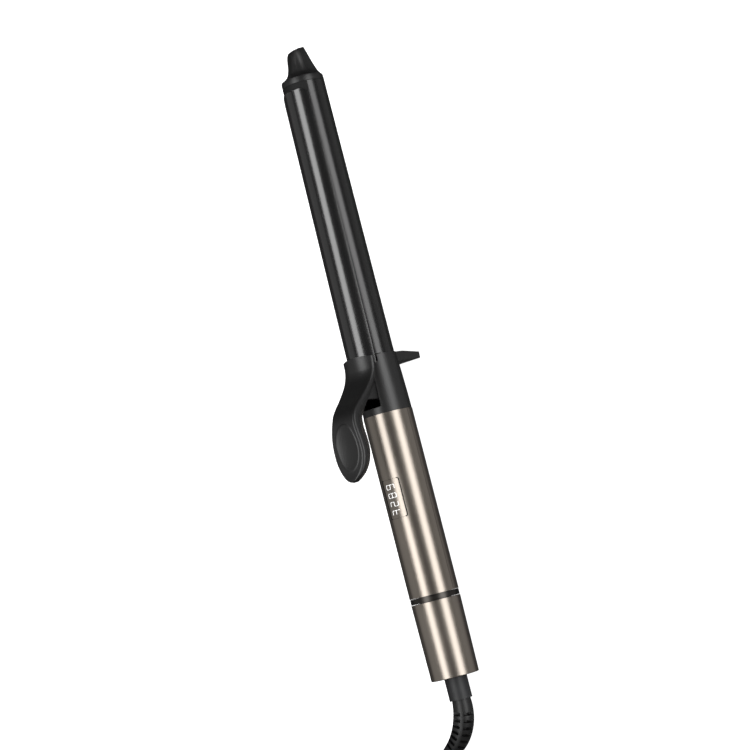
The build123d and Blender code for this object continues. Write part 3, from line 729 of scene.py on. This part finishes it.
def slant_end(vert):
    """Lean the end face over, with the nose's sides following it."""
    station, side, height = vert.co
    share = max(0.0, (station - RING_END) / (TIP_END - RING_END))
    lean = side * sin(LOW_SIDE) + height * cos(LOW_SIDE)
    vert.co.x -= END_SLANT * lean * share ** 3


spigot = [(SPIGOT_START, 0.0), (SPIGOT_START, SPIGOT_RADIUS), (RING_START, SPIGOT_RADIUS)]
ring = [
    (RING_START, RING_RADIUS - 0.15),
    (RING_START + 0.2, RING_RADIUS),
    (RING_END - 1.1, RING_RADIUS - 0.05),
    (RING_END - 0.4, RING_RADIUS - 0.25),
    (RING_END, NOSE_BASE),
]
nose_stations = [RING_END + NOSE_STEP * step for step in range(1, NOSE_STEPS + 1)]
nose = [(station, ridge_radius(station)) for station in nose_stations]
end_face = [
    (TIP_END - 0.3, NOSE_END),
    (TIP_END - 0.05, NOSE_END - 0.3),
    (TIP_END, NOSE_END - 0.7),
    (TIP_END, END_MIDDLE),
    (TIP_END, 0.0),
]
bm = spin_profile(spigot + ring + nose + end_face, SPIN_STEPS)
for vert in bm.verts:
    press_nose(vert)
    slant_end(vert)
finish_piece(bm, "cool_tip_shell", "handle", "satin_plastic", IRON, ["cool_tip"], sharp=24.0)

# %% [markdown]
# ## Painted shade on the barrel
# Two thin dark sheets lie on the barrel and paint shade on it. One darkens the barrel in the
# collar's mouth, where the notch lies in shade. The other is the painted shadow of the clip's
# nose, on the barrel just before the tip's ring.

# %% Painted shade on the barrel
SLEEVE_RADIUS = BARREL_RADIUS + 0.07
MOUTH_SHADE_SPAN = (189.6, 191.9)
NOSE_SHADOW_SPAN = (352.0, 358.1)
MOUTH_SHADE_HALF = radians(60.0)
NOSE_SHADOW_HALF = radians(49.0)
SLEEVE_SUNK = 0.3                # how far the sleeves reach into the barrel's wall
SLEEVE_STEPS = 48


def arc_shade_sheet(bm, start, end, half_angle):
    """Thin dark curved sheet of painted shade on the barrel, centred on the lever's direction."""
    inner = BARREL_RADIUS - SLEEVE_SUNK
    corners = ((start, inner), (start, SLEEVE_RADIUS), (end, SLEEVE_RADIUS), (end, inner))
    rows = []
    for step in range(SLEEVE_STEPS + 1):
        angle = -half_angle + 2 * half_angle * step / SLEEVE_STEPS
        rows.append([(x, r * sin(angle), r * cos(angle)) for x, r in corners])
    loft(bm, rows)


# Painted shade: a dark sheet that darkens the barrel in the collar's mouth.
bm = bmesh.new()
arc_shade_sheet(bm, *MOUTH_SHADE_SPAN, MOUTH_SHADE_HALF)
finish_piece(bm, "mouth_painted_shade", "handle", "heat_proof_plastic", IRON)
# Painted shadow: a dark sheet for the clip nose's shadow on the barrel, before the tip's ring.
bm = bmesh.new()
arc_shade_sheet(bm, *NOSE_SHADOW_SPAN, NOSE_SHADOW_HALF)
finish_piece(bm, "nose_painted_shadow", "handle", "heat_proof_plastic", IRON)

# %% [markdown]
# ## Clip
# The clip is a long curved blade of coated sheet that springs down on the barrel. A flat grid is
# rolled to the barrel's curve, wider at the heel than at the nose, with the nose's corners
# rounded; an extrusion inwards gives the sheet its thickness, and a small bevel its soft edge.

# %% Clip
CLIP_LENGTH = 167.5
CLIP_HEEL = -163.0
CLIP_OUTER = 13.7
CLIP_BORE = 12.92
CLIP_CROWDING = 1.6              # rows lie closer together towards the nose
CLIP_BEVEL = 0.22
CLIP_SHARP = 40.0                # degrees
EDGE_HEIGHTS = [(0.0, 8.7), (20.0, 8.6), (160.5, 9.0), (163.5, 9.5), (166.2, 10.8), (167.5, 12.3)]


def edge_angle(along):
    """Half the clip's angle round the barrel, at a distance from its heel."""
    return acos(curve_value(EDGE_HEIGHTS, along) / CLIP_OUTER)


bm = bmesh.new()
bmesh.ops.create_grid(bm, x_segments=120, y_segments=32, size=1.0)
for vert in bm.verts:
    share = (vert.co.x + 1) / 2
    along = CLIP_LENGTH * (1 - (1 - share) ** CLIP_CROWDING)
    angle = vert.co.y * edge_angle(along)
    vert.co = (along + CLIP_HEEL, CLIP_OUTER * sin(angle), CLIP_OUTER * cos(angle))
grown = bmesh.ops.extrude_face_region(bm, geom=bm.faces[:])
for vert in [item for item in grown["geom"] if isinstance(item, bmesh.types.BMVert)]:
    radius = hypot(vert.co.y, vert.co.z)
    vert.co.y *= CLIP_BORE / radius
    vert.co.z *= CLIP_BORE / radius
clip = finish_piece(
    bm,
    "clip_blade",
    "clamp",
    "barrel_coating",
    CLAMP,
    ["clip_plate"],
    finish=finishes["clip_coating"],
    sharp=CLIP_SHARP,
)
bevel = clip.modifiers.new("edges", "BEVEL")
bevel.width = CLIP_BEVEL * MM
bevel.segments = 3
bevel.limit_method = "ANGLE"
bevel.angle_limit = radians(CLIP_SHARP)

# %% [markdown]
# ## Thumb lever
# One moulding: a hood that saddles the clip's heel, a neck that climbs away from the barrel, and
# an oval paddle with a dished top. It is lofted from cross-sections laid along the lever's side
# profile. Each section has a dished top with rounded edges, and a flank with one step in it.

# %% Lever plate
LEVER_TOP = [
    (159.0, 16.4),
    (163.0, 16.6),
    (167.0, 17.3),
    (171.5, 19.2),
    (176.0, 22.6),
    (180.6, 27.4),
    (185.0, 33.0),
    (189.2, 36.9),
    (195.0, 39.4),
    (202.0, 40.4),
    (214.0, 40.4),
    (222.0, 41.2),
    (228.6, 43.2),
]
HALF_WIDTHS = [
    (159.0, 11.2),
    (168.0, 11.0),
    (176.0, 10.2),
    (184.0, 9.1),
    (190.0, 8.9),
    (196.0, 9.4),
    (203.0, 10.6),
    (209.0, 11.2),
    (214.0, 11.1),
    (219.0, 9.9),
    (223.0, 7.8),
    (226.0, 5.3),
    (228.0, 2.6),
    (228.6, 0.9),
]
THICKNESSES = [
    (159.0, 2.4),
    (166.0, 2.8),
    (172.0, 5.6),
    (180.0, 6.6),
    (187.0, 8.6),
    (193.0, 9.6),
    (201.0, 9.2),
    (208.0, 8.8),
    (215.0, 8.0),
    (222.0, 6.4),
    (228.6, 3.4),
]
FLANK = [   # share of the thickness, distance in from the widest
    (0.0, 1.7),
    (0.02, 1.15),
    (0.06, 0.6),
    (0.12, 0.2),
    (0.2, 0.0),
    (0.47, 0.0),
    (0.5, 0.12),
    (0.53, 0.75),
    (0.56, 0.85),
    (0.86, 1.0),
    (0.95, 1.5),
    (1.0, 2.6),
]
DISH_CENTRE = 209.0
DISH_LENGTH = 14.6
DISH_WIDTH = 8.3
PAD_STEP = 0.4              # the pad stands up round its rim, and is hollowed inside it
DISH_BOWL = 1.0
DISH_RAMP = 0.12
HOOD_RADIUS = 17.0
HOOD_FADE_END = 182.0       # the hood's bend dies out here
HOOD_FADE_LENGTH = 20.0
HOOD_ARCH = 1.3             # the hood's front edge bows towards the tip
ARCH_FALL = 2.2             # how fast the bow falls off to the sides
ARCH_END = 166.0
ARCH_LENGTH = 7.0
FULL_FLANK_HALF = 6.0       # a narrower or thinner section has a smaller flank, in proportion
FULL_FLANK_THICKNESS = 4.0
PADDLE_CROWDING = 1.25
LEVER_SECTIONS = 170
TOP_POINTS = 56


def hood_drop(back, side):
    """How far the hood bends down over the clip."""
    saddle = max(0.0, min(1.0, (HOOD_FADE_END - back) / HOOD_FADE_LENGTH))
    saddle *= saddle * (3 - 2 * saddle)
    return saddle * (HOOD_RADIUS - sqrt(HOOD_RADIUS ** 2 - side ** 2))


def dish(back, side):
    """Depth of the thumb's hollow in the paddle."""
    reach = hypot((back - DISH_CENTRE) / DISH_LENGTH, side / DISH_WIDTH)
    inside = max(0.0, 1 - reach)
    step = min(1.0, inside / DISH_RAMP)
    return DISH_BOWL * (1 - min(1.0, reach) ** 2) - PAD_STEP * step * step * (3 - 2 * step)


def lever_point(back, side, depth):
    """Point under the lever's top, measured square to its side profile."""
    ahead = curve_value(LEVER_TOP, back + 0.5) - curve_value(LEVER_TOP, back - 0.5)
    lean = hypot(1.0, ahead)
    top = curve_value(LEVER_TOP, back) - hood_drop(back, side)
    bow = 1 - (side / HOOD_RADIUS) ** 2 * ARCH_FALL
    arch = HOOD_ARCH * bow * max(0.0, (ARCH_END - back) / ARCH_LENGTH)
    return (arch - back - depth * ahead / lean, side, top - depth / lean)


def lever_section(back):
    """Closed loop of points: over the top, down one flank, back under, up the other."""
    half = curve_value(HALF_WIDTHS, back)
    thickness = curve_value(THICKNESSES, back)
    inset_share = min(1.0, half / FULL_FLANK_HALF, thickness / FULL_FLANK_THICKNESS)
    flat = half - FLANK[0][1] * inset_share
    sides = [flat * (1 - 2 * step / TOP_POINTS) for step in range(TOP_POINTS + 1)]
    loop = [lever_point(back, side, dish(back, side)) for side in sides]
    flank = [(half - inset * inset_share, depth * thickness) for depth, inset in FLANK[1:]]
    loop += [lever_point(back, -side, depth) for side, depth in flank]
    loop += [lever_point(back, side, depth) for side, depth in reversed(flank)]
    return loop


def lever_place(step):
    """Place of a section, closer together towards the paddle's round end."""
    share = 1 - (1 - step / LEVER_SECTIONS) ** PADDLE_CROWDING
    return LEVER_TOP[0][0] + share * (LEVER_TOP[-1][0] - LEVER_TOP[0][0])


bm = bmesh.new()
loft(bm, [lever_section(lever_place(step)) for step in range(LEVER_SECTIONS + 1)])
lever = finish_piece(
    bm, "lever_plate", "clamp", "satin_plastic", CLAMP, ["thumb_lever", "thumb_pad"], sharp=50.0
)
lever.visible_glossy = False     # the glossy barrel doesn't mirror it

# %% [markdown]
# ## Lever webs
# Two plates under the hood reach down into the collar to the hinge pin. Each is a flat outline,
# extruded and bevelled.

# %% Lever webs
HINGE_STATION = 184.0
HINGE_HEIGHT = 8.0
WEB_INNER = 3.2
WEB_OUTER = 6.3
WEB_BEVEL = 0.4
WEB = [(3.6, 9.0), (-12.0, 13.0), (-17.2, 18.5), (-18.0, 4.6), (-12.0, 1.6), (-4.0, -3.4), (3.0, -3.4)]


def web_plate(bm, inner, outer):
    """One web between two sides."""
    verts = [bm.verts.new((HINGE_STATION + x, inner, HINGE_HEIGHT + z)) for x, z in WEB]
    face = bm.faces.new(verts)
    grown = bmesh.ops.extrude_face_region(bm, geom=[face])
    moved = [item for item in grown["geom"] if isinstance(item, bmesh.types.BMVert)]
    bmesh.ops.translate(bm, verts=moved, vec=(0, outer - inner, 0))


bm = bmesh.new()
web_plate(bm, WEB_INNER, WEB_OUTER)
web_plate(bm, -WEB_INNER, -WEB_OUTER)
bmesh.ops.bevel(
    bm, geom=bm.edges[:], offset=WEB_BEVEL, segments=2, profile=0.5, affect="EDGES", material=-1
)
finish_piece(bm, "lever_webs", "clamp", "satin_plastic", IRON)

# %% [markdown]
# ## Display figures
# The window shows four figures, each made from the seven bars of a digital display. A bar is a
# small flat block laid on the window's curve, and stands a little proud of it.

# %% Display figures
FIGURE_START = 114.8
FIGURE_PITCH = 5.04
FIGURE_WIDTH = 2.5
FIGURE_HEIGHT = 5.6
STROKE = 0.37
STROKE_GAP = 0.25               # a bar stops this much short of its full length
STROKE_THICKNESS = 0.06
FIGURE_TURN = radians(1.5)
FIGURE_RADIUS = 14.67
FIGURES = ["acdefg", "abcdefg", "abdeg", "defg"]
BARS = {
    "a": (0.0, 0.5, True),
    "b": (0.5, 0.25, False),
    "c": (0.5, -0.25, False),
    "d": (0.0, -0.5, True),
    "e": (-0.5, -0.25, False),
    "f": (-0.5, 0.25, False),
    "g": (0.0, 0.0, True),
}


def figure_bar(bm, station, bar):
    """One bar of a figure: right is towards the handle's end, up is to the right side."""
    x, y, flat = BARS[bar]
    length = FIGURE_WIDTH if flat else FIGURE_HEIGHT / 2
    size = (length - STROKE_GAP, STROKE) if flat else (STROKE, length - STROKE_GAP)
    made = bmesh.ops.create_cube(bm, size=1.0)
    for vert in made["verts"]:
        flat_x = x * FIGURE_WIDTH + vert.co.x * size[0]
        flat_y = y * FIGURE_HEIGHT + vert.co.y * size[1]
        angle = FIGURE_TURN - flat_y / FIGURE_RADIUS
        radius = FIGURE_RADIUS + vert.co.z * STROKE_THICKNESS
        vert.co = (station - flat_x, radius * sin(angle), radius * cos(angle))


bm = bmesh.new()
for number, figure in enumerate(FIGURES):
    for bar in figure:
        figure_bar(bm, FIGURE_START - number * FIGURE_PITCH, bar)
bmesh.ops.subdivide_edges(bm, edges=bm.edges[:], cuts=1)
finish_piece(bm, "display_figures", "handle", "window_plastic", IRON, finish=finishes["display_light"])

# %% [markdown]
# ## Plug
# The plug is lofted from rounded rectangles that swell from the cord's neck to the flat front.
# Its neck has soft ribs, so that the cord can bend without breaking.

# %% Plug
PLUG_SIDE = HANK_SIDE
PLUG_HEIGHT = 8.0
PLUG_SHAPE = [   # station, half width, half height, corner
    (-333.4, 3.9, 3.9, 3.9),
    (-332.9, 4.3, 4.3, 4.3),
    (-317.0, 5.9, 5.6, 5.6),
    (-315.6, 8.6, 6.3, 5.2),
    (-313.0, 10.2, 7.0, 4.8),
    (-300.0, 12.4, 7.8, 4.2),
    (-293.4, 12.9, 8.0, 3.8),
    (-292.0, 12.6, 7.7, 3.6),
    (-291.4, 12.0, 7.1, 3.2),
]
RIB_PITCH = 2.6
RIB_DEPTH = 0.45
CORNER_STEPS = 8
CORNER_SHARE = 0.9999           # just short of a full turn, so that the loop's ends stay apart
PLUG_SECTIONS = 90


def rounded_loop(station, half_width, half_height, corner):
    """Closed loop of a rounded rectangle across the plug."""
    loop = []
    for quarter, (y, z) in enumerate(((1, 1), (-1, 1), (-1, -1), (1, -1))):
        for step in range(CORNER_STEPS + 1):
            angle = pi / 2 * (quarter + step / CORNER_STEPS) * CORNER_SHARE
            side = y * (half_width - corner) + corner * cos(angle)
            height = z * (half_height - corner) + corner * sin(angle)
            loop.append((station, PLUG_SIDE + side, PLUG_HEIGHT + height))
    return loop


def plug_loops():
    """Sections of the plug, with the ribs of its neck between the first and third."""
    loops = []
    start, end = PLUG_SHAPE[0][0], PLUG_SHAPE[-1][0]
    for step in range(PLUG_SECTIONS + 1):
        station = start + (end - start) * step / PLUG_SECTIONS
        sizes = [curve_value([(row[0], row[k]) for row in PLUG_SHAPE], station) for k in (1, 2, 3)]
        if PLUG_SHAPE[1][0] < station < PLUG_SHAPE[2][0]:
            dip = RIB_DEPTH * (0.5 - 0.5 * cos(2 * pi * (station - PLUG_SHAPE[1][0]) / RIB_PITCH))
            sizes = [size - dip for size in sizes]
        loops.append(rounded_loop(station, *sizes))
    return loops


bm = bmesh.new()
loft(bm, plug_loops())
plug = finish_piece(
    bm, "plug_moulding", "cord_swivel", "cord_rubber", Matrix.Scale(MM, 4), ["plug_body"], sharp=45.0
)

# %% [markdown]
# ## Window seam
# A dark, narrow seam runs round the window, where its edge meets the handle's shell. It is a
# thin line that stands a little proud of the shell.

# %% Window seam
WINDOW_MIDDLE = 107.8
WINDOW_LENGTH = 22.8
WINDOW_WIDTH = 12.2
SEAM_CORNER = 1.0
SEAM_RADIUS = 14.76
SEAM_HALF = 0.3
SEAM_THICKNESS = 0.1
SEAM_CORNER_STEPS = 8


def seam_line(grow):
    """Rounded rectangle round the window, as points of (station, side)."""
    points = []
    half_length = WINDOW_LENGTH / 2 - SEAM_CORNER
    half_width = WINDOW_WIDTH / 2 - SEAM_CORNER
    corner = SEAM_CORNER + grow
    for quarter, (x, y) in enumerate(((1, 1), (-1, 1), (-1, -1), (1, -1))):
        for step in range(SEAM_CORNER_STEPS + 1):
            angle = pi / 2 * (quarter + step / SEAM_CORNER_STEPS)
            station = WINDOW_MIDDLE + x * half_length + corner * cos(angle)
            points.append((station, y * half_width + corner * sin(angle)))
    return points


def seam_loop(bm, points, radius):
    """Vertices of a seam line, laid on the handle's curve."""
    return [bm.verts.new((station, side, sqrt(radius ** 2 - side ** 2))) for station, side in points]


bm = bmesh.new()
inner, outer = seam_line(-SEAM_HALF), seam_line(SEAM_HALF)
loops = [seam_loop(bm, *line) for line in (
    (inner, SEAM_RADIUS - SEAM_THICKNESS),
    (inner, SEAM_RADIUS),
    (outer, SEAM_RADIUS),
    (outer, SEAM_RADIUS - SEAM_THICKNESS),
)]
bridge(bm, loops + loops[:1])
finish_piece(bm, "window_seam", "handle", "heat_proof_plastic", IRON)
